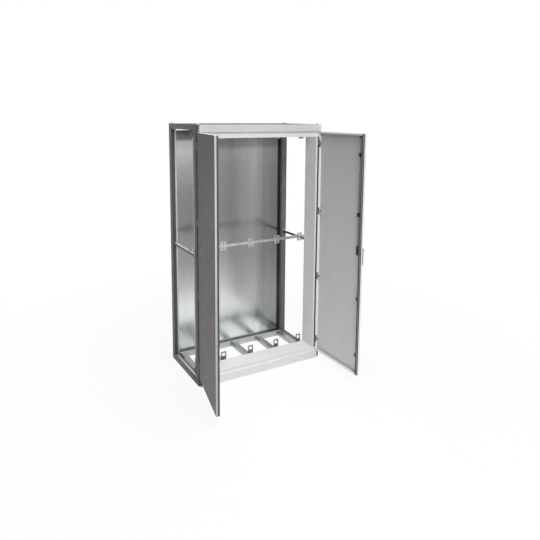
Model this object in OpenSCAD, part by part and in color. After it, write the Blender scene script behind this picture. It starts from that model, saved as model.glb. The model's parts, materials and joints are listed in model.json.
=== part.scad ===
// Floor-standing open-sided cabinet frame with two hinged doors and a rod lock.
// Units are millimetres. +Z is up, the front faces -Y, and the floor is Z = 0.

/* [Cabinet] */
// width over the posts
cab_w = 1100; // [800:10:1500]
// depth from the rear plane to the front of the trim bands
cab_d = 600; // [450:10:800]
// height of the frame above the floor
cab_h = 2000; // [1600:10:2200]

/* [Frame] */
// side of a square post
post_w = 45; // [40:1:60]
// height of a beam
beam_h = 42; // [34:1:60]
// wall of posts and beams
tube_t = 2.5; // [1.5:0.5:4]
// thickness of the cap that closes a post at each end
cap_t = 4; // [3:0.5:8]
// side of a square punching in a post
punch_w = 8; // [5:1:12]
// pitch of the punchings
punch_pitch = 50; // [40:5:100]
// distance of the first punching from the floor
punch_first = 100; // [60:5:150]
// radius of a floor bolt hole
floor_hole_r = 6.5; // [4.5:0.5:8]
// distance of the floor bolts from the front end of their beam
floor_bolt_end = 29; // [20:1:80]
// width over the flats of a corner bolt head
bolt_af = 17; // [13:1:24]
// height of a corner bolt head
bolt_h = 8; // [5:1:12]
// radius of the washer below a corner bolt head
washer_r = 14; // [12:1:18]
// thickness of that washer
washer_t = 2; // [1:0.5:4]

/* [Rear panel] */
// drop of the panel's upper edge below the top beam
panel_drop = 14; // [6:1:70]
// depth of the folded edge of the panel
panel_fold = 15; // [8:1:25]

/* [Trim] */
// thickness of the trim, panel and door sheet
sheet_t = 2; // [1:0.5:3]
// distance of the band fronts ahead of the posts
trim_d = 26; // [25:1:34]
// distance of the trim's ends inside the posts' outer faces
trim_in = 16; // [8:1:24]
// width of the upright trim's face
stile_w = 14; // [8:1:20]
// length of the cap on an end of the lower band
cap_l = 13; // [6:1:15]
// height of that cap
band_cap_h = 46; // [30:1:60]
// height of the lower band
band_low_h = 64; // [50:1:80]
// height of the upper band
band_top_h = 55; // [45:1:80]
// height of the sill above the floor
sill_h = 88; // [84:1:120]
// drop of the fascia below the top
fascia_h = 100; // [84:1:140]
// depth of the lining around the door opening
reveal_d = 156; // [120:1:170]
// depth of the turned edge at the rear of the lining
reveal_fold = 12; // [8:1:14]

/* [Inner bars] */
// side of a side bar
bar_w = 20; // [15:1:30]
// height of the side bars' upper face
bar_top = 1020; // [700:5:1200]
// depth of the cross rail
rail_d = 15; // [10:1:20]
// height of the cross rail
rail_h = 20; // [14:1:30]
// width of a floor or roof rail
strut_w = 50; // [40:1:60]
// height of a floor or roof rail
strut_h = 25; // [18:1:30]
// distance between neighbouring rails at the middle
strut_pitch = 250; // [180:5:300]
// width of a bracket
clip_w = 48; // [30:1:50]
// thickness of a bracket
clip_t = 3; // [2:0.5:5]
// height of a floor bracket above its rail
clip_h = 98; // [80:1:130]
// height of a roof bracket below its rail
roof_clip_h = 80; // [60:1:110]
// length of a bracket's foot
clip_foot = 40; // [25:1:60]
// distance from the lining's rear edge to the brackets
clip_back = 34; // [4:1:50]
// side of a bracket's square window
clip_window = 26; // [14:1:28]
// distance from the window to the bracket's free edge
clip_edge = 12; // [8:1:20]
// height of a bracket on the cross rail
plate_h = 70; // [60:1:140]
// side of the two square windows in such a bracket
plate_window = 14; // [8:1:16]
// distance from these windows to the bracket's ends
plate_edge = 8; // [5:1:9]

/* [Doors] */
// thickness of a door
door_t = 24; // [23:1:25]
// distance of the door faces ahead of the bands
door_proud = 6; // [5:0.5:8]
// gap around a door and half the gap between the doors
door_gap = 2; // [1.5:0.5:4]
// width of the lip folded in at a door's rear edge
door_lip = 16; // [12:1:20]
// width of the lip on the edge that carries the hinges
hinge_lip = 4; // [3:0.5:16]
// opening angle of the left door as it stands
left_open = 101; // [0:1:109]
// opening angle of the right door as it stands
right_open = 91; // [0:1:109]

/* [Hinges] */
// distance of a hinge axis from the door's edge
axis_in = 10; // [9:0.5:10.5]
// distance of a hinge axis behind the door's face
axis_back = 11; // [10.5:0.5:11.5]
// radius of a hinge pin
pin_r = 3.5; // [2.5:0.25:4]
// radial clearance of a pin in the door's knuckles
pin_fit = 0.05; // [0.02:0.01:0.1]
// radius of a knuckle
knuckle_r = 7; // [6:0.5:7]
// height of a hinge
hinge_h = 50; // [40:1:80]
// height of the frame's knuckle
knuckle_h = 20; // [12:1:26]
// gap between neighbouring knuckles
knuckle_gap = 0.5; // [0.3:0.1:1]
// width of the arm that carries the frame's knuckle
arm_w = 8; // [6:0.5:8]
// thickness of a hinge plate
hinge_plate_t = 3; // [2:0.5:3]
// width of a hinge plate
hinge_plate_w = 30; // [24:1:40]
// width of a hinge's fixing plate on the frame
hinge_base_w = 22; // [16:1:23]
// clearance above and below a hinge in the door's edge
notch_gap = 4; // [2:0.5:8]
// hinges on a door, at equal distances
hinge_n = 4; // [3:1:5]
// distance of the outer hinges from the door's ends
hinge_end = 98.5; // [60:0.5:160]

/* [Lock] */
// distance of the lock's axis from the door's free edge
lock_in = 34; // [32:1:50]
// height of the lock's axis above the middle of the door
lock_up = 52; // [0:1:90]
// distance of the rods' middle behind the door's face
rod_back = 15; // [15:0.25:15.5]
// width of a rod
rod_w = 5; // [4:0.5:7]
// depth of a rod
rod_d = 12; // [8:0.5:12]
// distance of the rods' ends inside the door's edge
rod_short = 1; // [0.5:0.5:3]
// clearance of the rods in their guides
rod_fit = 0.4; // [0.3:0.1:0.6]
// clearance of the rods in the slots of the bands
keep_fit = 0.7; // [0.5:0.1:0.9]
// radius of the drive wheel between the rods
wheel_r = 6.4; // [5.5:0.1:7]
// gap between the drive wheel and the rods
wheel_gap = 0.4; // [0.3:0.1:0.6]
// radius of the lock spindle
spindle_r = 5; // [4:0.5:5]
// clearance of the spindle in the door's sheet and the lock case
spindle_room = 0.5; // [0.3:0.1:1]
// radial clearance of the spindle in the handle's plate
spindle_fit = 0.05; // [0.02:0.01:0.1]
// wall of the lock case and the guides
case_t = 2.5; // [1.5:0.5:3]
// height of the lock case
case_h = 70; // [50:1:100]
// height of a rod guide
guide_h = 30; // [20:1:40]
// wall of a rod guide beside its rod
guide_wall = 5; // [3:0.5:6]
// distance of the outer guides from the door's ends
guide_end = 158.5; // [80:0.5:200]
// share of the outer guides' distance from the door's middle at which the inner ones are
guide_share = 0.42; // [0.3:0.01:0.6]
// gap between a door's end lip and the last guide
tip_gap = 1; // [0.5:0.5:20]
// height of the last guides
tip_h = 12; // [8:1:30]
// width of the handle's plate
plate_w = 32; // [28:1:40]
// thickness of the handle's plate
plate_t = 8; // [4:0.5:10]
// distance from the lock's axis to the plate's upper end
plate_up = 26; // [20:1:40]
// distance from the lock's axis to the plate's lower end
plate_down = 132; // [100:1:160]
// gap between the handle and its plate
handle_gap = 0.4; // [0.3:0.1:1]
// width of the handle's grip
grip_w = 20; // [16:1:26]
// thickness of the handle
grip_t = 24; // [8:1:30]
// length of the handle from the lock's axis to the middle of its round end
grip_l = 108; // [80:1:120]
// radius of the handle's boss
boss_r = 13; // [11:0.5:14]

/* [Hidden] */
$fn = 48;
cut = 1;
half_w = cab_w / 2;
trim_w = half_w - trim_in;
rear_y = cab_d / 2;
band_y = -cab_d / 2;
post_y = band_y + trim_d;
face_y = post_y - sheet_t;
inner_w = half_w - post_w;
lining_y = face_y + reveal_d;
opening_w = inner_w - sheet_t;
stile_h = cab_h - fascia_h - sill_h;
beam_y0 = post_y + post_w;
beam_y1 = rear_y - post_w;
post_mid_x = half_w - post_w / 2;
floor_bolt_y = -beam_y0 - floor_bolt_end;
punch_n = floor((cab_h - 2 * punch_first) / punch_pitch) + 1;
clip_y = lining_y + clip_back;
strut_side_x = inner_w - strut_w / 2;
strut_xs = [-strut_side_x, -strut_pitch, 0, strut_pitch, strut_side_x];
door_y = band_y - door_proud;
door_z0 = band_low_h + door_gap;
door_z1 = cab_h - band_top_h - door_gap;
door_mid = (door_z0 + door_z1) / 2;
door_edge = half_w - door_gap;
door_w = door_edge - door_gap;
axis_x = door_edge - axis_in;
axis_y = door_y + axis_back;
skin_y = door_y + sheet_t;
rim_d = door_t - sheet_t;
lip_y = door_y + door_t - sheet_t;
door_h = door_z1 - door_z0;
hinge_pitch = (door_h - 2 * hinge_end) / (hinge_n - 1);
hinge_zs = [for (i = [0 : hinge_n - 1]) door_z0 + hinge_end + i * hinge_pitch];
lock_x = door_gap + lock_in;
lock_z = door_mid + lock_up;
rod_y = door_y + rod_back;
rod_off = wheel_r + wheel_gap + rod_w / 2;
rod_up_x = lock_x + rod_off;
rod_low_x = lock_x - rod_off;
rod_end = case_h / 2 - case_t;
case_x = rod_off + rod_w / 2 + rod_fit + case_t;
rod_room_y = rod_d / 2 + rod_fit;
case_y1 = rod_y + rod_room_y + case_t;
leaf_gap = knuckle_r + hinge_plate_t;
door_knuckle_h = (hinge_h - knuckle_h) / 2 - knuckle_gap;
guide_w = rod_w + 2 * (rod_fit + guide_wall);
guide_far = door_h / 2 - guide_end;
guide_tip = door_h / 2 - door_lip - tip_gap - tip_h / 2;
plate_y = door_y - plate_t;
handle_y = plate_y - handle_gap - grip_t;

frame_grey = [0.36, 0.36, 0.36];
zinc = [0.72, 0.75, 0.75];
trim_white = [0.9, 0.9, 0.89];
door_grey = [0.62, 0.62, 0.61];
black = [0.08, 0.08, 0.08];
handle_grey = [0.4, 0.4, 0.4];

// places its child on the chosen side: -1 left, 1 right
module on_side(side) {
  mirror([side < 0 ? 1 : 0, 0, 0]) children();
}

// turns a closed left door to where it stands open
module left_swing() {
  translate([-axis_x, axis_y, 0]) rotate([0, 0, -left_open]) translate([axis_x, -axis_y, 0]) children();
}

// turns a closed right door to where it stands open
module right_swing() {
  translate([axis_x, axis_y, 0]) rotate([0, 0, right_open]) translate([-axis_x, -axis_y, 0]) children();
}

// hollow post with closed ends and a row of punchings in its outer face
module post(side, y) {
  inside = post_w - 2 * tube_t;
  color(frame_grey) on_side(side) translate([inner_w, y, 0]) difference() {
    cube([post_w, post_w, cab_h]);
    translate([tube_t, tube_t, cap_t]) cube([inside, inside, cab_h - 2 * cap_t]);
    for (i = [0 : punch_n - 1])
      translate([post_w - tube_t - cut, (post_w - punch_w) / 2, punch_first + i * punch_pitch - punch_w / 2])
        cube([tube_t + 2 * cut, punch_w, punch_w]);
  }
}
module post_front_left() post(-1, post_y);
module post_front_right() post(1, post_y);
module post_rear_left() post(-1, beam_y1);
module post_rear_right() post(1, beam_y1);

// hollow beam across the width
module wide_beam(y, z) {
  color(frame_grey) translate([-inner_w, y, z]) difference() {
    cube([2 * inner_w, post_w, beam_h]);
    translate([-cut, tube_t, tube_t])
      cube([2 * (inner_w + cut), post_w - 2 * tube_t, beam_h - 2 * tube_t]);
  }
}
module top_beam_front() wide_beam(post_y, cab_h - beam_h);
module top_beam_rear() wide_beam(beam_y1, cab_h - beam_h);
module base_beam_front() wide_beam(post_y, 0);
module base_beam_rear() wide_beam(beam_y1, 0);

// channel along the depth, open towards the inside
module deep_beam(side, z) {
  color(frame_grey) on_side(side) translate([inner_w, beam_y0, z]) difference() {
    cube([post_w, beam_y1 - beam_y0, beam_h]);
    translate([-cut, -cut, tube_t])
      cube([post_w - tube_t + cut, beam_y1 - beam_y0 + 2 * cut, beam_h - 2 * tube_t]);
  }
}
module top_beam_left() deep_beam(-1, cab_h - beam_h);
module top_beam_right() deep_beam(1, cab_h - beam_h);

// floor beam: the channel with two bolt holes in its lower flange
module floor_beam(side) {
  difference() {
    deep_beam(side, 0);
    for (d = [-1, 1])
      translate([side * post_mid_x, d * floor_bolt_y, -cut])
        cylinder(r = floor_hole_r, h = tube_t + 2 * cut);
  }
}
module base_beam_left() floor_beam(-1);
module base_beam_right() floor_beam(1);

// hexagon head and washer on the top of each post
module corner_bolts() {
  color(zinc) for (x = [-post_mid_x, post_mid_x], y = [post_y + post_w / 2, rear_y - post_w / 2])
    translate([x, y, cab_h]) {
      cylinder(r = washer_r, h = washer_t);
      cylinder(r = bolt_af / sqrt(3), h = washer_t + bolt_h, $fn = 6);
    }
}

// sheet with folded edges between the rear posts
module rear_panel() {
  h = cab_h - panel_drop - 2 * beam_h;
  color(zinc) translate([-inner_w, rear_y - panel_fold, beam_h]) difference() {
    cube([2 * inner_w, panel_fold, h]);
    translate([sheet_t, -cut, sheet_t])
      cube([2 * (inner_w - sheet_t), panel_fold - sheet_t + cut, h - 2 * sheet_t]);
  }
}

// draws a profile given in depth and height, across the width
module across(half) {
  translate([-half, 0, 0]) rotate([90, 0, 90]) linear_extrude(2 * half) children();
}

// front trim: a hollow band on a face sheet, and the lining behind the face
module front_trim(band_h, face_h) {
  across(trim_w) {
    difference() {
      translate([band_y, 0]) square([trim_d, band_h]);
      translate([band_y + sheet_t, sheet_t]) square([trim_d - 2 * sheet_t, band_h - 2 * sheet_t]);
    }
    translate([face_y, 0]) square([sheet_t, face_h]);
  }
  across(inner_w) {
    translate([face_y, face_h - sheet_t]) square([reveal_d, sheet_t]);
    translate([lining_y - sheet_t, face_h - reveal_fold]) square([sheet_t, reveal_fold]);
  }
}

// slot in a band for the end of a rod
module keep_slot(x, z) {
  translate([x - rod_w / 2 - keep_fit, rod_y - rod_d / 2 - keep_fit, z - cut])
    cube([rod_w + 2 * keep_fit, rod_d + 2 * keep_fit, sheet_t + 2 * cut]);
}
module sill() {
  color(trim_white) difference() {
    front_trim(band_low_h, sill_h);
    keep_slot(rod_low_x, band_low_h - sheet_t);
  }
}
module fascia() {
  color(trim_white) difference() {
    translate([0, 0, cab_h]) mirror([0, 0, 1]) front_trim(band_top_h, fascia_h);
    keep_slot(rod_up_x, cab_h - band_top_h);
  }
}

// upright trim: a narrow face on the post's front
module stile(side) {
  color(trim_white) on_side(side) translate([opening_w, face_y, sill_h])
    cube([stile_w, sheet_t, stile_h]);
}

// caps on the ends of the lower band
module band_caps() {
  color(black) for (side = [-1, 1]) on_side(side)
    translate([trim_w, band_y, (band_low_h - band_cap_h) / 2]) cube([cap_l, trim_d, band_cap_h]);
}
module stile_left() stile(-1);
module stile_right() stile(1);

// sheets that line the sides of the opening behind the upright trim
module linings() {
  color(trim_white) for (side = [-1, 1]) on_side(side)
    translate([opening_w, post_y, sill_h]) cube([sheet_t, lining_y - post_y, stile_h]);
}

// strips along the rear edges of those sheets
module lining_edges() {
  color(trim_white) for (side = [-1, 1]) on_side(side)
    translate([inner_w, lining_y - sheet_t, sill_h])
      cube([reveal_fold - sheet_t, sheet_t, stile_h]);
}

// hollow bar from the front post to the rear post
module side_bar(side) {
  inside = bar_w - 2 * tube_t;
  color(zinc) translate([side * post_mid_x - bar_w / 2, beam_y0, bar_top - bar_w]) difference() {
    cube([bar_w, beam_y1 - beam_y0, bar_w]);
    translate([tube_t, -cut, tube_t]) cube([inside, beam_y1 - beam_y0 + 2 * cut, inside]);
  }
}
module side_bar_left() side_bar(-1);
module side_bar_right() side_bar(1);

// hollow rail that lies on both side bars
module cross_rail() {
  half = post_mid_x + bar_w / 2;
  color(zinc) translate([-half, clip_y + clip_t, bar_top]) difference() {
    cube([2 * half, rail_d, rail_h]);
    translate([-cut, tube_t, tube_t])
      cube([2 * (half + cut), rail_d - 2 * tube_t, rail_h - 2 * tube_t]);
  }
}

// square window in a bracket, with its lower edge at z
module window_cut(w, z) {
  translate([-w / 2, -cut, z]) cube([w, clip_t + 2 * cut, w]);
}

// upright bracket on the front of the cross rail, one above each floor rail
module rail_plates() {
  color(zinc) for (x = strut_xs)
    translate([x, clip_y, bar_top + rail_h / 2 - plate_h / 2]) difference() {
      translate([-clip_w / 2, 0, 0]) cube([clip_w, clip_t, plate_h]);
      window_cut(plate_window, plate_edge);
      window_cut(plate_window, plate_h - plate_edge - plate_window);
    }
}

// channels on the floor, from the front beam to the rear beam
module floor_struts() {
  for (x = strut_xs) translate([x - strut_w / 2, beam_y0, beam_h - strut_h]) difference() {
    cube([strut_w, beam_y1 - beam_y0, strut_h]);
    translate([tube_t, -cut, -cut])
      cube([strut_w - 2 * tube_t, beam_y1 - beam_y0 + 2 * cut, strut_h - tube_t + cut]);
  }
}
module floor_rails() color(zinc) floor_struts();
module roof_rails() color(zinc) translate([0, 0, cab_h]) mirror([0, 0, 1]) floor_struts();

// angle brackets that stand on the floor rails
module strut_clips(h) {
  for (x = strut_xs) translate([x, clip_y, beam_h]) difference() {
    translate([-clip_w / 2, 0, 0]) {
      cube([clip_w, clip_foot, clip_t]);
      cube([clip_w, clip_t, h]);
    }
    window_cut(clip_window, h - clip_edge - clip_window);
  }
}
module floor_clips() color(zinc) strut_clips(clip_h);
module roof_clips() color(zinc) translate([0, 0, cab_h]) mirror([0, 0, 1]) strut_clips(roof_clip_h);

// frame side of the hinges: fixing plate, arm, knuckle and pin
module hinge_arms(side) {
  reach = post_y - axis_y;
  color(zinc) on_side(side) for (z = hinge_zs) translate([axis_x, axis_y, z]) {
    cylinder(r = pin_r, h = hinge_h, center = true);
    cylinder(r = knuckle_r, h = knuckle_h, center = true);
    translate([-arm_w / 2, 0, -knuckle_h / 2]) cube([arm_w, reach, knuckle_h]);
    translate([-hinge_base_w / 2, reach - hinge_plate_t, -hinge_h / 2])
      cube([hinge_base_w, hinge_plate_t, hinge_h]);
  }
}
module hinge_arms_left() hinge_arms(-1);
module hinge_arms_right() hinge_arms(1);

// door side of the hinges, on a closed right door
module hinge_leaves() {
  back = axis_y - skin_y;
  color(zinc) for (z = hinge_zs) translate([axis_x, axis_y, z]) difference() {
    union() {
      translate([-leaf_gap - hinge_plate_w, -back, -hinge_h / 2])
        cube([hinge_plate_w, hinge_plate_t, hinge_h]);
      for (low = [-hinge_h / 2, hinge_h / 2 - door_knuckle_h]) translate([0, 0, low]) {
        cylinder(r = knuckle_r, h = door_knuckle_h);
        translate([-leaf_gap - hinge_plate_t, -back, 0])
          cube([leaf_gap + hinge_plate_t, back, door_knuckle_h]);
      }
    }
    cylinder(r = pin_r + pin_fit, h = hinge_h + 2 * cut, center = true);
  }
}
module left_hinge_leaves() left_swing() on_side(-1) hinge_leaves();
module right_hinge_leaves() right_swing() hinge_leaves();

// closed right door: its face sheet
module leaf() {
  color(door_grey) translate([door_gap, door_y, door_z0]) cube([door_w, sheet_t, door_h]);
}

// folded edges along the door's upper and lower ends
module rim_ends() {
  color(door_grey) for (end = [0, 1]) translate([0, 0, end * (door_z0 + door_z1)]) mirror([0, 0, end]) {
    translate([door_gap, skin_y, door_z0]) cube([door_w, rim_d, sheet_t]);
    translate([door_gap + sheet_t, lip_y, door_z0]) cube([door_w - 2 * sheet_t, sheet_t, door_lip]);
  }
}

// folded upright edge of the door, drawn on its free side
module rim_side(lip) {
  translate([door_gap, skin_y, door_z0 + sheet_t]) cube([sheet_t, rim_d, door_h - 2 * sheet_t]);
  translate([door_gap, lip_y, door_z0 + door_lip]) cube([lip, sheet_t, door_h - 2 * door_lip]);
}

// both upright edges, the one beside the frame with room for the hinges
module rim_sides() {
  color(door_grey) {
    rim_side(door_lip);
    difference() {
      translate([door_gap + door_edge, 0, 0]) mirror([1, 0, 0]) rim_side(hinge_lip);
      for (z = hinge_zs)
        translate([door_edge - hinge_lip - cut, skin_y - cut, z - hinge_h / 2 - notch_gap])
          cube([hinge_lip + 2 * cut, rim_d + 2 * cut, hinge_h + 2 * notch_gap]);
    }
  }
}
module left_leaf() left_swing() on_side(-1) leaf();
module left_rim_ends() left_swing() on_side(-1) rim_ends();
module left_rim_sides() left_swing() on_side(-1) rim_sides();
module right_rim_sides() right_swing() rim_sides();

// room for a rod, from z upwards
module rod_room(x, z, h) {
  translate([x - rod_w / 2 - rod_fit, rod_y - rod_room_y, z])
    cube([rod_w + 2 * rod_fit, 2 * rod_room_y, h]);
}

// round bar along the lock's axis
module on_lock_axis(r, y0, y1) {
  translate([lock_x, y0, lock_z]) rotate([-90, 0, 0]) cylinder(r = r, h = y1 - y0);
}
module right_leaf() {
  right_swing() color(door_grey) difference() {
    leaf();
    on_lock_axis(spindle_r + spindle_room, door_y - cut, skin_y + cut);
  }
}
module right_rim_ends() {
  right_swing() color(door_grey) difference() {
    rim_ends();
    rod_room(rod_up_x, door_z1 - sheet_t - cut, sheet_t + 2 * cut);
    rod_room(rod_low_x, door_z0 - cut, sheet_t + 2 * cut);
  }
}

// sleeve around the drive wheel and the inner ends of the rods
module lock_case() {
  right_swing() color(black) difference() {
    translate([lock_x - case_x, skin_y, lock_z - case_h / 2])
      cube([2 * case_x, case_y1 - skin_y, case_h]);
    translate([lock_x - case_x + case_t, rod_y - rod_room_y, lock_z - case_h / 2 - cut])
      cube([2 * (case_x - case_t), 2 * rod_room_y, case_h + 2 * cut]);
    on_lock_axis(spindle_r + spindle_room, skin_y - cut, rod_y);
  }
}

// block on the door's sheet with a slot for one rod
module rod_guide(x, z, h) {
  difference() {
    translate([x - guide_w / 2, skin_y, z - h / 2]) cube([guide_w, case_y1 - skin_y, h]);
    rod_room(x, z - h / 2 - cut, h + 2 * cut);
  }
}
module guide_pair(d, h) {
  rod_guide(rod_up_x, door_mid + d, h);
  rod_guide(rod_low_x, door_mid - d, h);
}
module rod_guides() {
  right_swing() color(black) {
    guide_pair(guide_far * guide_share, guide_h);
    guide_pair(guide_far, guide_h);
    guide_pair(guide_tip, tip_h);
  }
}

// plate with round ends that carries the spindle on the door's face
module handle_plate() {
  end_r = plate_w / 2;
  right_swing() color(handle_grey) difference() {
    translate([lock_x, plate_y, lock_z]) {
      translate([-end_r, 0, end_r - plate_down]) cube([plate_w, plate_t, plate_up + plate_down - plate_w]);
      for (z = [end_r - plate_down, plate_up - end_r])
        translate([0, 0, z]) rotate([-90, 0, 0]) cylinder(r = end_r, h = plate_t);
    }
    on_lock_axis(spindle_r + spindle_fit, plate_y - cut, door_y + cut);
  }
}

// handle that hangs down from its boss
module handle_lever() {
  right_swing() color(handle_grey) {
    on_lock_axis(boss_r, handle_y, handle_y + grip_t);
    translate([lock_x - grip_w / 2, handle_y, lock_z - grip_l]) cube([grip_w, grip_t, grip_l]);
    translate([lock_x, handle_y, lock_z - grip_l]) rotate([-90, 0, 0]) cylinder(r = grip_w / 2, h = grip_t);
  }
}

// spindle from the handle to the drive wheel
module lock_spindle() {
  right_swing() color(zinc) {
    on_lock_axis(spindle_r, handle_y + grip_t, rod_y);
    on_lock_axis(wheel_r, rod_y - rod_d / 2, rod_y + rod_d / 2);
  }
}

// flat rod between two heights
module rod(x, z0, z1) {
  right_swing() color(zinc) translate([x - rod_w / 2, rod_y - rod_d / 2, z0]) cube([rod_w, rod_d, z1 - z0]);
}
module rod_upper() rod(rod_up_x, lock_z - rod_end, door_z1 - rod_short);
module rod_lower() rod(rod_low_x, door_z0 + rod_short, lock_z + rod_end);

post_front_left();
post_front_right();
post_rear_left();
post_rear_right();
top_beam_front();
top_beam_rear();
top_beam_left();
top_beam_right();
base_beam_front();
base_beam_rear();
base_beam_left();
base_beam_right();
corner_bolts();
rear_panel();
fascia();
sill();
band_caps();
stile_left();
stile_right();
linings();
lining_edges();
side_bar_left();
side_bar_right();
cross_rail();
rail_plates();
floor_rails();
floor_clips();
roof_rails();
roof_clips();
hinge_arms_left();
hinge_arms_right();
left_leaf();
left_rim_ends();
left_rim_sides();
left_hinge_leaves();
right_leaf();
right_rim_ends();
right_rim_sides();
right_hinge_leaves();
lock_case();
rod_guides();
handle_plate();
handle_lever();
lock_spindle();
rod_upper();
rod_lower();
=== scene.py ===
import json
import math

import bmesh
import bpy
from mathutils import Matrix, Vector


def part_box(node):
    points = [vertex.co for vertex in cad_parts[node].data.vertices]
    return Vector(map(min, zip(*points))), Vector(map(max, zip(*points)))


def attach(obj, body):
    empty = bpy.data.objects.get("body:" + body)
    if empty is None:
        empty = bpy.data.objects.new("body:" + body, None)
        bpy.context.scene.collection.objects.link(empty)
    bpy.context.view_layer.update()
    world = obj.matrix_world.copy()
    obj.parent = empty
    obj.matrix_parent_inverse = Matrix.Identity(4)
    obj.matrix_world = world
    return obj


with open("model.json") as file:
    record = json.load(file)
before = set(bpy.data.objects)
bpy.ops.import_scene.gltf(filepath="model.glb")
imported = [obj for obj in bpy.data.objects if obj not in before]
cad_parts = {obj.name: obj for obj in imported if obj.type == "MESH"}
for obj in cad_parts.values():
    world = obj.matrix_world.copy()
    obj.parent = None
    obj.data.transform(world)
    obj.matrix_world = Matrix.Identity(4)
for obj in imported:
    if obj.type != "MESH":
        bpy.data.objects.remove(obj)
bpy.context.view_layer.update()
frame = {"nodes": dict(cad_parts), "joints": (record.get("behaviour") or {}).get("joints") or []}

nodes = frame["nodes"]
scene = bpy.context.scene

# Places that the finishes and the trim follow, taken from the frame, in metres

post_lo, post_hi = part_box("post_rear_left")
beam_lo, beam_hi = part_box("base_beam_left")
bar_lo, bar_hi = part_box("side_bar_left")
leaf_lo, leaf_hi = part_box("right_leaf")
joint_of = {joint["child"]: joint for joint in frame["joints"]}

CAB_H = post_hi.z
REAR_Y = post_hi.y
INNER_X = -post_hi.x
POST_FRONT = post_lo.y
BEAM_TOP = beam_hi.z
DOOR_LOW, DOOR_TOP = leaf_lo.z, leaf_hi.z
# from the hinge pins to the rear face of a closed door
HINGE_TO_BACK = 0.013
DOOR_BACK = joint_of["right_door"]["pos_m"][1] + HINGE_TO_BACK


def open_turn(door):
    """How far a door stands at rest from where it is closed, about the upright axis."""
    hinge = joint_of[door]
    return math.radians(-hinge["range_deg"][0]) * hinge["axis"][2]


def outward(door):
    """The way a door's outer face looks at rest."""
    turn = open_turn(door)
    return (math.sin(turn), -math.cos(turn), 0.0)


def swing(door):
    """Turns a piece drawn on a closed door to where that door stands at rest."""
    hinge = Vector(joint_of[door]["pos_m"])
    turn = Matrix.Rotation(open_turn(door), 4, "Z")
    return Matrix.Translation(hinge) @ turn @ Matrix.Translation(-hinge)


# Node material helpers


def link(tree, output, socket):
    tree.links.new(output, socket)


def put(tree, value, socket):
    """Links an output to a socket, or sets a number or a colour on it."""
    if hasattr(value, "links"):
        link(tree, value, socket)
    elif isinstance(value, tuple):
        socket.default_value = (*value, 1.0)
    else:
        socket.default_value = value


def empty_material(name):
    mat = bpy.data.materials.new(name)
    mat.use_nodes = True
    tree = mat.node_tree
    tree.nodes.clear()
    return mat, tree, tree.nodes.new("ShaderNodeOutputMaterial")


def new_material(name):
    mat, tree, out = empty_material(name)
    bsdf = tree.nodes.new("ShaderNodeBsdfPrincipled")
    link(tree, bsdf.outputs["BSDF"], out.inputs["Surface"])
    return mat, tree, bsdf


def coordinates(tree, kind):
    """A point, as Object, or its normal, as Normal, in the part's own frame."""
    return tree.nodes.new("ShaderNodeTexCoord").outputs[kind]


def stretched(tree, scale=(1, 1, 1)):
    mapping = tree.nodes.new("ShaderNodeMapping")
    mapping.inputs["Scale"].default_value = scale
    link(tree, coordinates(tree, "Object"), mapping.inputs["Vector"])
    return mapping.outputs["Vector"]


def noise(tree, scale, detail=3.0, rough=0.55, stretch=(1, 1, 1)):
    node = tree.nodes.new("ShaderNodeTexNoise")
    node.inputs["Scale"].default_value = scale
    node.inputs["Detail"].default_value = detail
    node.inputs["Roughness"].default_value = rough
    link(tree, stretched(tree, stretch), node.inputs["Vector"])
    return node.outputs["Fac"]


def ramp(tree, fac, stops):
    """Maps a factor through (place, value) stops. A value is a grey or a colour."""
    node = tree.nodes.new("ShaderNodeValToRGB")
    elements = node.color_ramp.elements
    while len(elements) < len(stops):
        elements.new(0.5)
    for element, (place, value) in zip(elements, stops):
        element.position = place
        element.color = (*value, 1.0) if isinstance(value, tuple) else (value, value, value, 1.0)
    link(tree, fac, node.inputs["Fac"])
    return node.outputs["Color"]


def mix(tree, fac, a, b, mode="MIX"):
    node = tree.nodes.new("ShaderNodeMix")
    node.data_type = "RGBA"
    node.blend_type = mode
    # of the node's many sockets, these are the ones for colours
    for socket, value in ((node.inputs[0], fac), (node.inputs[6], a), (node.inputs[7], b)):
        put(tree, value, socket)
    return node.outputs[2]


def times(tree, a, b):
    return mix(tree, 1.0, a, b, "MULTIPLY")


def scaled(colour, by):
    return tuple(min(1.0, c * by) for c in colour)


def math_node(tree, operation, *values):
    node = tree.nodes.new("ShaderNodeMath")
    node.operation = operation
    for socket, value in zip(node.inputs, values):
        put(tree, value, socket)
    return node.outputs[0]


def rounded_normal(tree, radius):
    node = tree.nodes.new("ShaderNodeBevel")
    node.samples = 4
    node.inputs["Radius"].default_value = radius
    return node.outputs["Normal"]


def bump(tree, bsdf, height, strength, distance, bevel=0.0):
    node = tree.nodes.new("ShaderNodeBump")
    node.inputs["Strength"].default_value = strength
    node.inputs["Distance"].default_value = distance
    link(tree, height, node.inputs["Height"])
    if bevel:
        link(tree, rounded_normal(tree, bevel), node.inputs["Normal"])
    link(tree, node.outputs["Normal"], bsdf.inputs["Normal"])


def dot(tree, vector):
    """The node for a dot product with a vector, whose other side is set by the caller."""
    node = tree.nodes.new("ShaderNodeVectorMath")
    node.operation = "DOT_PRODUCT"
    link(tree, vector, node.inputs[0])
    return node


EDGE_STOPS = ((0.72, 1.0), (0.98, 0.0))


def edge_mask(tree, radius):
    """1 on edges, 0 on flats: how far a rounded normal leaves the true one."""
    flat = tree.nodes.new("ShaderNodeNewGeometry")
    product = dot(tree, rounded_normal(tree, radius))
    link(tree, flat.outputs["Normal"], product.inputs[1])
    return ramp(tree, product.outputs["Value"], EDGE_STOPS)


def axis_of(tree, kind, axis):
    """One coordinate of a point or of its normal."""
    node = tree.nodes.new("ShaderNodeSeparateXYZ")
    link(tree, coordinates(tree, kind), node.inputs["Vector"])
    return node.outputs[axis]


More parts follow.
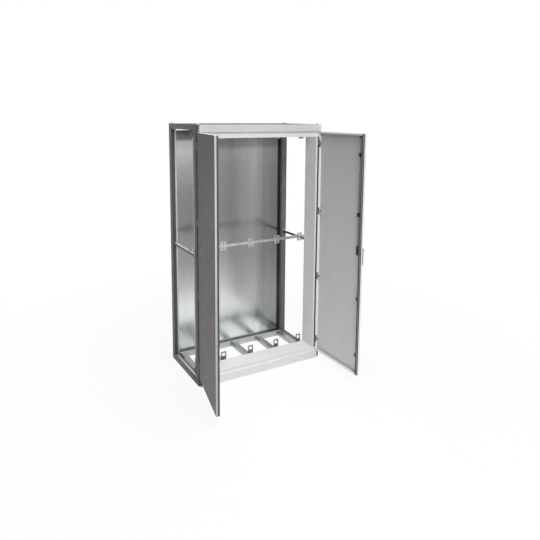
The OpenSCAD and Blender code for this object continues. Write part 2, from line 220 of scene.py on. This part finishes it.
def axis_fac(tree, axis, low, high):
    """0 where that coordinate of a point is low and 1 where it is high."""
    node = tree.nodes.new("ShaderNodeMapRange")
    node.inputs["From Min"].default_value = low
    node.inputs["From Max"].default_value = high
    link(tree, axis_of(tree, "Object", axis), node.inputs["Value"])
    return node.outputs["Result"]


def uneven_rough(tree, bsdf, fac, rough, below, above):
    """Roughness that wanders from a little below a value to a little above it."""
    stops = ((0.3, rough - below), (0.7, rough + above))
    link(tree, ramp(tree, fac, stops), bsdf.inputs["Roughness"])


# Kinds of finish

# how a noise is split into two tones, and how far it is drawn out upright
SOFT_SPLIT = ((0.3, 0.0), (0.7, 1.0))
GRIME_SPLIT = ((0.35, 0.0), (0.75, 0.35))
STAIN_SPLIT = ((0.35, 0.0), (0.65, 1.0))
GRAIN_SPLIT = ((0.35, 0.0), (0.7, 1.0))
SPANGLE_SPLIT = ((0.2, 0.0), (0.8, 0.25))
UPRIGHT = (1, 1, 0.3)
WAVY_UPRIGHT = (1, 1, 0.2)
FINE_UPRIGHT = (1, 1, 0.03)
# radii by which the shading rounds edges, for paint and for small parts
PAINT_EDGE_R, SMALL_EDGE_R = 0.0012, 0.0008


def paint(name, base, shade, wear, rough, shade_tone):
    """Satin paint with faint mottling, a fine texture and rubbed edges, with painted shade along one
    axis.
    """
    mat, tree, bsdf = new_material(name)
    body = mix(tree, ramp(tree, noise(tree, scale=9.0, detail=4.0), SOFT_SPLIT), shade, base)
    grime = ramp(tree, noise(tree, scale=2.2, detail=5.0, rough=0.6), GRIME_SPLIT)
    body = mix(tree, grime, body, shade)
    body = mix(tree, edge_mask(tree, radius=0.0016), body, wear)
    # painted shade: the colour is darkened along one axis, where the piece lies in shade
    axis, low, high, stops = shade_tone
    body = times(tree, body, ramp(tree, axis_fac(tree, axis, low, high), stops))
    link(tree, body, bsdf.inputs["Base Color"])
    uneven_rough(tree, bsdf, noise(tree, scale=30.0), rough, below=0.07, above=0.07)
    bsdf.inputs["Specular IOR Level"].default_value = 0.25
    peel = noise(tree, scale=700.0, detail=2.0)
    bump(tree, bsdf, peel, strength=0.12, distance=0.0004, bevel=PAINT_EDGE_R)
    return mat


# painted shade: the doors' outer faces are painted dark, as they face away from the light
DOOR_OUTER_SHADED = (0.198, 0.191, 0.18)
DOOR_ROUGH = 0.4
# how far a normal has to point outward for a face to be an outer one
OUTER_FACE = ((0.9, 0.0), (0.95, 1.0))
# darker mottles inside and outside, and lighter rubbed edges
MOTTLE_IN, MOTTLE_OUT, RUBBED = 0.94, 0.96, 1.15
# how each face is painted darker by height, as painted shade: 0 is the floor and 1 the top
OUTER_FADE = ((0.2, 1.0), (0.5, 0.8), (0.75, 0.74), (0.97, 0.5))
LEAF_FADE = ((0.0, 0.93), (0.5, 0.86), (0.88, 0.69), (0.96, 0.72))
LEFT_RIM_FADE = ((0.0, 0.55), (0.3, 0.6), (0.6, 0.75), (0.9, 0.72))
RIGHT_RIM_FADE = ((0.0, 1.0), (1.0, 0.9))


def door_paint(name, door, inner, fade_in):
    """Paint whose outer face is painted a darker tone, as painted shade, and whose inside and edges
    are another.
    """
    mat, tree, bsdf = new_material(name)
    product = dot(tree, coordinates(tree, "Normal"))
    product.inputs[1].default_value = outward(door)
    face = ramp(tree, product.outputs["Value"], OUTER_FACE)
    # painted shade: the outer face takes the dark outer colour, the inside and edges the inner one
    shade_tone = mix(tree, face, inner, DOOR_OUTER_SHADED)
    dark = mix(tree, face, scaled(inner, MOTTLE_IN), scaled(DOOR_OUTER_SHADED, MOTTLE_OUT))
    mottle = noise(tree, scale=3.0, detail=4.0, rough=0.6, stretch=UPRIGHT)
    body = mix(tree, ramp(tree, mottle, SOFT_SPLIT), dark, shade_tone)
    # painted shade by height, one ramp for the inside and one for the outer face
    height = axis_fac(tree, "Z", 0.0, CAB_H)
    fade = mix(tree, face, ramp(tree, height, fade_in), ramp(tree, height, OUTER_FADE))
    body = times(tree, body, fade)
    body = mix(tree, edge_mask(tree, radius=0.0014), body, scaled(inner, RUBBED))
    link(tree, body, bsdf.inputs["Base Color"])
    uneven_rough(tree, bsdf, noise(tree, scale=24.0), DOOR_ROUGH, below=0.06, above=0.08)
    bsdf.inputs["Specular IOR Level"].default_value = 0.08
    peel = noise(tree, scale=900.0, detail=2.0)
    bump(tree, bsdf, peel, strength=0.1, distance=0.0003, bevel=PAINT_EDGE_R)
    return mat


# painted reflections and painted shade on the rear panel across its width: 0 is at -TONE_X and 1 at
# TONE_X
TONE_X = 0.5
REFLECTION_HIGH = (
    (0.42, 0.4), (0.5, 0.52), (0.56, 0.78), (0.62, 0.98), (0.68, 0.96), (0.74, 0.9),
    (0.785, 0.55), (0.83, 0.32), (0.95, 0.25),
)
REFLECTION_LOW = (
    (0.42, 0.9), (0.56, 0.92), (0.68, 0.95), (0.74, 0.9), (0.785, 0.54), (0.83, 0.37), (0.95, 0.34),
)
PALE_FOOT = ((0.78, 0.9), (0.82, 0.62), (0.86, 0.58), (0.9, 0.38), (0.95, 0.28))
LEFT_TO_RIGHT = ((0.2, 0.0), (0.36, 1.0))
# its painted reflections, painted shade and tint by height: 0 is the floor and 1 the top
LOW_TO_HIGH = ((0.24, 0.0), (0.6, 1.0))
FOOT = ((0.08, 1.0), (0.115, 0.0))
RIGHT_PART = (
    (0.1, 0.95), (0.2, 0.92), (0.26, 0.86), (0.34, 0.74), (0.42, 0.66), (0.6, 0.71),
    (0.8, 0.77), (0.85, 0.84), (0.885, 0.88), (0.9, 0.6), (0.93, 0.5),
)
LEFT_PART = (
    (0.09, 0.65), (0.16, 0.92), (0.22, 0.86), (0.3, 0.57), (0.4, 0.36), (0.5, 0.3),
    (0.62, 0.25), (0.72, 0.28), (0.82, 0.4), (0.88, 0.54), (0.925, 0.46), (0.935, 0.17),
)
# painted reflection: a faint blue-green tint low down, where the sheet mirrors the rails
LOW_REFLECTION_TINT = ((0.1, (0.945, 1.0, 0.99)), (0.2, (1.0, 1.0, 1.0)))
# painted shade: the folds around the sheet, which face neither the front nor the rear, are painted
# darker
FOLD_SHADE = ((0.4, 0.3), (0.6, 1.0))
ROLLED_SHARE = 0.5


def zinc_sheet(name, base, low, rough):
    """Zinc coated sheet: faint crystals, upright rolling streaks and a soft mirror, with painted
    reflections and painted shade laid over by place.
    """
    mat, tree, bsdf = new_material(name)
    crystals = tree.nodes.new("ShaderNodeTexVoronoi")
    crystals.inputs["Scale"].default_value = 160.0
    link(tree, stretched(tree), crystals.inputs["Vector"])
    spangle = ramp(tree, crystals.outputs["Color"], SPANGLE_SPLIT)
    rolled = noise(tree, scale=14.0, detail=4.0, rough=0.6, stretch=FINE_UPRIGHT)
    rolled = math_node(tree, "MULTIPLY", ramp(tree, rolled, SOFT_SPLIT), ROLLED_SHARE)
    body = mix(tree, spangle, base, low)
    body = mix(tree, rolled, body, low)
    # painted reflections and shade: brightest low down, with a pale upright streak of painted
    # reflection right of the middle and a dark head of painted shade
    height = axis_fac(tree, "Z", 0.0, CAB_H)
    across = axis_fac(tree, "X", -TONE_X, TONE_X)
    reflections = ramp(tree, across, REFLECTION_LOW), ramp(tree, across, REFLECTION_HIGH)
    right = mix(tree, ramp(tree, height, LOW_TO_HIGH), *reflections)
    right = mix(tree, ramp(tree, height, FOOT), right, ramp(tree, across, PALE_FOOT))
    right = times(tree, right, ramp(tree, height, RIGHT_PART))
    left = ramp(tree, height, LEFT_PART)
    body = times(tree, body, mix(tree, ramp(tree, across, LEFT_TO_RIGHT), left, right))
    # painted reflection: the faint tint low down
    body = times(tree, body, ramp(tree, height, LOW_REFLECTION_TINT))
    # painted shade on the folds
    frontal = math_node(tree, "ABSOLUTE", axis_of(tree, "Normal", "Y"))
    body = times(tree, body, ramp(tree, frontal, FOLD_SHADE))
    link(tree, body, bsdf.inputs["Base Color"])
    bsdf.inputs["Metallic"].default_value = 1.0
    wavy = noise(tree, scale=12.0, detail=4.0, rough=0.6, stretch=WAVY_UPRIGHT)
    uneven_rough(tree, bsdf, wavy, rough, below=0.05, above=0.05)
    bump(tree, bsdf, noise(tree, scale=5.0, detail=2.0), strength=0.04, distance=0.002)
    return mat


BRIGHT_EDGE = (0.9, 0.9, 0.9)
SIDE_FACE = ((0.4, 1.0), (0.6, 0.0))


def plated(name, base, dark, rough, shaded_sides=None, metal=0.85):
    """Zinc plated steel with small stains and bright edges. Its sides can be painted darker than its
    top, as painted shade.
    """
    mat, tree, bsdf = new_material(name)
    stains = ramp(tree, noise(tree, scale=40.0, detail=4.0), STAIN_SPLIT)
    body = mix(tree, stains, dark, base)
    # painted shade: faces that look sideways take the darker colour of the sides
    if shaded_sides is not None:
        sideways = ramp(tree, axis_of(tree, "Normal", "Z"), SIDE_FACE)
        body = mix(tree, sideways, body, shaded_sides)
    body = mix(tree, edge_mask(tree, radius=0.0012), body, BRIGHT_EDGE)
    link(tree, body, bsdf.inputs["Base Color"])
    bsdf.inputs["Metallic"].default_value = metal
    uneven_rough(tree, bsdf, noise(tree, scale=60.0), rough, below=0.08, above=0.1)
    grain = noise(tree, scale=400.0, detail=2.0)
    bump(tree, bsdf, grain, strength=0.08, distance=0.0003, bevel=SMALL_EDGE_R)
    return mat


EDGE_LIFT = 2.0


def plastic(name, base, light, rough):
    """Matt moulded plastic with a fine grain."""
    mat, tree, bsdf = new_material(name)
    body = mix(tree, ramp(tree, noise(tree, scale=60.0), GRAIN_SPLIT), base, light)
    body = mix(tree, edge_mask(tree, radius=0.001), body, tuple(c * EDGE_LIFT for c in light))
    link(tree, body, bsdf.inputs["Base Color"])
    uneven_rough(tree, bsdf, noise(tree, scale=90.0), rough, below=0.07, above=0.1)
    grain = noise(tree, scale=900.0, detail=2.0)
    bump(tree, bsdf, grain, strength=0.15, distance=0.0004, bevel=SMALL_EDGE_R)
    return mat


# Finishes of the pieces

# painted shade: the frame is painted darker towards the front, where the open doors shade it, and the
# trim is painted darker at its head
FRAME_PAINTED_SHADE = ("Y", -REAR_Y, REAR_Y, ((0.0, 0.5), (0.15, 0.52), (0.7, 1.0)))
HEAD_H = 0.2
TRIM_PAINTED_SHADE = ("Z", CAB_H - HEAD_H, CAB_H, ((0.3, 0.9), (0.5, 1.0), (0.7, 1.0), (0.74, 0.72)))
frame_paint = paint(
    "frame_paint", base=(0.165, 0.167, 0.165), shade=(0.12, 0.121, 0.12), wear=(0.28, 0.28, 0.28),
    rough=0.42, shade_tone=FRAME_PAINTED_SHADE,
)
trim_paint = paint(
    "trim_paint", base=(0.9, 0.9, 0.885), shade=(0.85, 0.85, 0.835), wear=(0.93, 0.93, 0.92),
    rough=0.38, shade_tone=TRIM_PAINTED_SHADE,
)
# painted light: the rims are painted lighter than the leaves, for the light that their faces catch
LEAF_INNER, RIM_INNER_LIT = (0.74, 0.74, 0.738), (0.93, 0.93, 0.92)
left_paint = door_paint("left_door_paint", "left_door", LEAF_INNER, LEAF_FADE)
right_paint = door_paint("right_door_paint", "right_door", LEAF_INNER, LEAF_FADE)
left_rim = door_paint("left_rim_paint", "left_door", RIM_INNER_LIT, LEFT_RIM_FADE)
right_rim = door_paint("right_rim_paint", "right_door", RIM_INNER_LIT, RIGHT_RIM_FADE)
panel_steel = zinc_sheet("panel_steel", base=(0.95, 0.97, 0.97), low=(0.78, 0.8, 0.805), rough=0.21)
zinc = plated("zinc", base=(0.62, 0.63, 0.63), dark=(0.45, 0.46, 0.46), rough=0.36)
dull_zinc = plated("dull_zinc", base=(0.36, 0.365, 0.365), dark=(0.24, 0.245, 0.245), rough=0.42)
band_zinc = plated("band_zinc", base=(0.6, 0.61, 0.6), dark=(0.52, 0.53, 0.52), rough=0.4)
rail_zinc = plated("rail_zinc", base=(0.5, 0.505, 0.505), dark=(0.36, 0.365, 0.365), rough=0.4)
# painted light: the side bars' tops are painted near white for their highlight, and their sides near
# black for their shade
bar_zinc = plated(
    "bar_zinc", base=(0.95, 0.95, 0.95), dark=(0.9, 0.9, 0.9), rough=0.36,
    shaded_sides=(0.05, 0.051, 0.051), metal=0.2,
)
grey = plastic("handle_grey", base=(0.36, 0.36, 0.355), light=(0.42, 0.42, 0.415), rough=0.42)
# dark strips laid where recesses and edges lie in shade, as painted shade
dark_strips = plastic("dark_strip_matt", base=(0.06, 0.06, 0.06), light=(0.09, 0.09, 0.09), rough=0.6)
foam = plastic("seal_foam", base=(0.6, 0.6, 0.595), light=(0.66, 0.66, 0.655), rough=0.7)
pale_band = plastic("pale_band", base=(0.54, 0.55, 0.545), light=(0.6, 0.61, 0.605), rough=0.45)
black = plastic("black_plastic", base=(0.02, 0.02, 0.02), light=(0.045, 0.045, 0.045), rough=0.5)

# a piece whose name begins with none of these is bright zinc
finishes = (
    (frame_paint, ("post_", "top_beam", "base_beam")),
    (trim_paint, ("fascia", "sill", "stile", "lining")),
    (left_paint, ("left_leaf", "left_hinge")),
    (right_paint, ("right_leaf", "right_hinge")),
    (left_rim, ("left_rim",)),
    (right_rim, ("right_rim",)),
    (panel_steel, ("rear_panel",)),
    (bar_zinc, ("side_bar",)),
    (rail_zinc, ("floor_rails",)),
    (dull_zinc, ("floor_clips", "roof_clips", "hinge_arms")),
    (grey, ("handle",)),
    (black, ("lock_case", "rod_guides", "band_caps")),
)
for name, obj in nodes.items():
    chosen = zinc
    for mat, prefixes in finishes:
        if name.startswith(prefixes):
            chosen = mat
    obj.data.materials.clear()
    obj.data.materials.append(chosen)

# Thin trim that the solids leave out, and dark strips of painted shade, each piece on the body that
# carries it

STRIP_EDGE_R = 0.00025
BAND_T = 0.0008
SEAL_T = 0.003


def strip(name, body, mat, xs, ys, zs, place=None):
    """A bar between two places on each axis, its edges rounded a little."""
    bm = bmesh.new()
    bmesh.ops.create_cube(bm, size=1.0)
    for vert in bm.verts:
        vert.co = [(lo + hi) / 2 + c * (hi - lo) for c, (lo, hi) in zip(vert.co, (xs, ys, zs))]
    bmesh.ops.bevel(bm, geom=bm.edges[:], offset=STRIP_EDGE_R, segments=2, affect="EDGES", profile=0.5)
    if place is not None:
        bm.transform(place)
    data = bpy.data.meshes.new(name)
    bm.to_mesh(data)
    bm.free()
    data.materials.append(mat)
    obj = bpy.data.objects.new(name, data)
    scene.collection.objects.link(obj)
    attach(obj, body)


# on a closed door: pale foam along the head lip, and dark strips of painted shade on the free lip
# and the free edge, with x counted from the line where the two doors meet
LIP_Y = (DOOR_BACK, DOOR_BACK + SEAL_T)
EDGE_STRIP_W, END_GAP, LIP_END_GAP, FOAM_W = 0.011, 0.002, 0.003, 0.01
EDGE_Y = (DOOR_BACK - EDGE_STRIP_W, DOOR_BACK)
HEAD_LIP_X, FREE_LIP_X, FREE_EDGE_X = (0.022, 0.53), (0.004, 0.0165), (0.0012, 0.002)
HEAD_LIP_Z = (DOOR_TOP - END_GAP - FOAM_W, DOOR_TOP - END_GAP)
FREE_LIP_Z = (DOOR_LOW + LIP_END_GAP, DOOR_TOP - LIP_END_GAP)
FREE_EDGE_Z = (DOOR_LOW + END_GAP, DOOR_TOP - END_GAP)
door_trim = (
    ("seal_top", foam, HEAD_LIP_X, LIP_Y, HEAD_LIP_Z),
    ("free_lip_shade", dark_strips, FREE_LIP_X, LIP_Y, FREE_LIP_Z),
    ("free_edge_shade", dark_strips, FREE_EDGE_X, EDGE_Y, FREE_EDGE_Z),
)
for side, label in ((-1, "left"), (1, "right")):
    door = label + "_door"
    for name, mat, xs, ys, zs in door_trim:
        xs = sorted(side * x for x in xs)
        strip(label + "_" + name, door, mat, xs, ys, zs, swing(door))


def left_span(near, far):
    """A span on the left post or beam, counted outward from the face that looks inward."""
    return (-INNER_X - far, -INNER_X - near)


# on the left rear post: a bright band, and a dark strip of painted shade where the post's recess lies
# in shadow, above and below the side bar
ON_POST = (POST_FRONT - BAND_T, POST_FRONT)
POST_BAND_X, POST_SHADE_X = left_span(near=0.001, far=0.014), left_span(near=0.016, far=0.041)
BEAM_GAP, BAR_GAP = 0.004, 0.003
LOW_Z = (BEAM_TOP + BEAM_GAP, bar_lo.z - BAR_GAP)
HIGH_Z = (bar_hi.z + BAR_GAP, CAB_H - BEAM_TOP - BEAM_GAP)
for part, zs in (("low", LOW_Z), ("high", HIGH_Z)):
    strip("post_band_" + part, "cabinet", band_zinc, POST_BAND_X, ON_POST, zs)
    strip("post_shade_strip_" + part, "cabinet", dark_strips, POST_SHADE_X, ON_POST, zs)

# on the left floor beam: a bright band, and a dark strip of painted shade along its inner edge
ON_BEAM = (BEAM_TOP, BEAM_TOP + BAND_T)
BEAM_BAND_X, BEAM_SHADE_X = left_span(near=0.015, far=0.035), left_span(near=0.001, far=0.013)
FRONT_GAP, REAR_GAP = 0.004, 0.005
BEAM_Y = (beam_lo.y + FRONT_GAP, beam_hi.y - REAR_GAP)
strip("beam_band_left", "cabinet", band_zinc, BEAM_BAND_X, BEAM_Y, ON_BEAM)
strip("beam_shade_strip_left", "cabinet", dark_strips, BEAM_SHADE_X, BEAM_Y, ON_BEAM)

# on the rear floor beam: pale bands on its top and its front, and a dark strip of painted shade
# behind, at the foot of the rear panel
TOP_HALF_W, FRONT_HALF_W = INNER_X - 0.003, INNER_X - 0.001
REAR_TOP_X, REAR_FRONT_X = (-TOP_HALF_W, TOP_HALF_W), (-FRONT_HALF_W, FRONT_HALF_W)
SHELF_W, SHADE_NEAR, SHADE_FAR = 0.015, 0.017, 0.029
SHELF_Y = (POST_FRONT, POST_FRONT + SHELF_W)
SHADE_Y = (POST_FRONT + SHADE_NEAR, POST_FRONT + SHADE_FAR)
REAR_FRONT_Z = (END_GAP, BEAM_TOP - END_GAP)
strip("beam_shelf_rear", "cabinet", pale_band, REAR_TOP_X, SHELF_Y, ON_BEAM)
strip("beam_band_rear", "cabinet", pale_band, REAR_FRONT_X, ON_POST, REAR_FRONT_Z)
strip("beam_shade_strip_rear", "cabinet", dark_strips, REAR_TOP_X, SHADE_Y, ON_BEAM)

# dark strips at the rear ends of the floor rails, each on its rail's left edge
RAIL_PITCH, RAIL_W = 0.25, 0.05
inner_rails = [step * RAIL_PITCH - RAIL_W / 2 for step in (-1, 0, 1)]
rails_left_x = [-INNER_X, *inner_rails, INNER_X - RAIL_W]
MARK_W, MARK_L, MARK_T, MARK_GAP = 0.012, 0.093, 0.003, 0.002
MARK_Y = (POST_FRONT - MARK_GAP - MARK_L, POST_FRONT - MARK_GAP)
MARK_Z = (BEAM_TOP, BEAM_TOP + MARK_T)
for i, x in enumerate(rails_left_x):
    mark_x = (x, x + MARK_W)
    strip("rail_dark_mark_%d" % (i + 1), "cabinet", dark_strips, mark_x, MARK_Y, MARK_Z)

# Floor and light

WHITE = (1.0, 1.0, 1.0)
FLOOR_GREY = (0.86, 0.86, 0.86)
FLOOR_HALF, FLOOR_Z = 30.0, -0.0005
# the share of plain white in the floor as it is seen, near the middle and far from it
NEAR_R, FAR_R = 0.9, 3.0
NEAR_WHITE, FAR_WHITE = 0.9, 1.0
# strengths of that white, of the world's light on the part, and of the world as it is seen
FLOOR_SEEN = 1.0
WORLD_LIGHT, WORLD_SEEN = 0.16, 1.0


def seen_rays(tree):
    """1 for rays that see the backdrop straight, in a mirror or through glass."""
    path = tree.nodes.new("ShaderNodeLightPath")
    seen = math_node(tree, "MAXIMUM", path.outputs["Is Camera Ray"], path.outputs["Is Glossy Ray"])
    return math_node(tree, "MAXIMUM", seen, path.outputs["Is Transmission Ray"])


def shader(tree, kind, colour, strength=None):
    node = tree.nodes.new(kind)
    put(tree, colour, node.inputs["Color"])
    if strength is not None:
        put(tree, strength, node.inputs["Strength"])
    return node.outputs[0]


def blend(tree, out, fac, first, second):
    """Sends the first shader to the output where fac is 0, and the second where it is 1."""
    mixer = tree.nodes.new("ShaderNodeMixShader")
    for socket, value in zip(mixer.inputs, (fac, first, second)):
        link(tree, value, socket)
    link(tree, mixer.outputs["Shader"], out.inputs["Surface"])


def floor_material():
    """Pale floor that keeps the shadow near the object and turns white further off."""
    mat, tree, out = empty_material("floor_white")
    far = tree.nodes.new("ShaderNodeVectorMath")
    far.operation = "LENGTH"
    link(tree, coordinates(tree, "Object"), far.inputs[0])
    fade = tree.nodes.new("ShaderNodeMapRange")
    fade.interpolation_type = "SMOOTHSTEP"
    for socket, value in (
        ("From Min", NEAR_R), ("From Max", FAR_R), ("To Min", NEAR_WHITE), ("To Max", FAR_WHITE),
    ):
        fade.inputs[socket].default_value = value
    link(tree, far.outputs["Value"], fade.inputs["Value"])
    glow = math_node(tree, "MULTIPLY", seen_rays(tree), fade.outputs["Result"])
    matt = shader(tree, "ShaderNodeBsdfDiffuse", FLOOR_GREY)
    blend(tree, out, glow, matt, shader(tree, "ShaderNodeEmission", WHITE, FLOOR_SEEN))
    return mat


mesh = bpy.data.meshes.new("floor")
corners = ((-1, -1), (1, -1), (1, 1), (-1, 1))
mesh.from_pydata([(x * FLOOR_HALF, y * FLOOR_HALF, FLOOR_Z) for x, y in corners], [], [(0, 1, 2, 3)])
floor = bpy.data.objects.new("floor", mesh)
scene.collection.objects.link(floor)
mesh.materials.append(floor_material())

world = bpy.data.worlds.new("studio")
scene.world = world
world.use_nodes = True
sky = world.node_tree
sky.nodes.clear()
sky_out = sky.nodes.new("ShaderNodeOutputWorld")
soft = shader(sky, "ShaderNodeBackground", WHITE, WORLD_LIGHT)
white = shader(sky, "ShaderNodeBackground", WHITE, WORLD_SEEN)
blend(sky, sky_out, seen_rays(sky), soft, white)


def lamp(name, at, target, size, watts):
    data = bpy.data.lights.new(name, "AREA")
    data.shape = "SQUARE"
    data.size = size
    data.energy = watts
    obj = bpy.data.objects.new(name, data)
    scene.collection.objects.link(obj)
    obj.location = at
    obj.rotation_mode = "QUATERNION"
    obj.rotation_quaternion = (Vector(target) - Vector(at)).to_track_quat("-Z", "Y")


lamp("key", at=(-1.2, -5.2, 4.6), target=(0.0, 0.0, 0.9), size=3.0, watts=200.0)
lamp("top", at=(0.3, -0.5, 6.0), target=(0.0, -0.2, 1.0), size=3.0, watts=245.0)

# Camera, set where the photograph was taken

FOCAL_PX, IMAGE_PX, SENSOR_MM = 528.688, 540.0, 36.0
# the lens axis meets the picture above its middle row
AXIS_ROW_PX = 190.0
CAMERA_AT = (-2.00606, -3.84103, 2.06615)
YAW, PITCH, ROLL = math.radians(30.19), math.radians(7.985), math.radians(0.464)
ahead = Vector((math.sin(YAW) * math.cos(PITCH), math.cos(YAW) * math.cos(PITCH), -math.sin(PITCH)))
level = Vector((math.cos(YAW), -math.sin(YAW), 0.0))
upright = level.cross(ahead)
right = math.cos(ROLL) * level + math.sin(ROLL) * upright
up = math.cos(ROLL) * upright - math.sin(ROLL) * level
cam_data = bpy.data.cameras.new("camera")
cam_data.sensor_width = SENSOR_MM
cam_data.lens = FOCAL_PX * SENSOR_MM / IMAGE_PX
cam_data.shift_y = (AXIS_ROW_PX - IMAGE_PX / 2) / IMAGE_PX
cam_data.dof.use_dof = False
cam = bpy.data.objects.new("camera", cam_data)
scene.collection.objects.link(cam)
cam.matrix_world = Matrix.Translation(CAMERA_AT) @ Matrix((right, up, -ahead)).transposed().to_4x4()
scene.camera = cam
scene.view_settings.view_transform = "Standard"
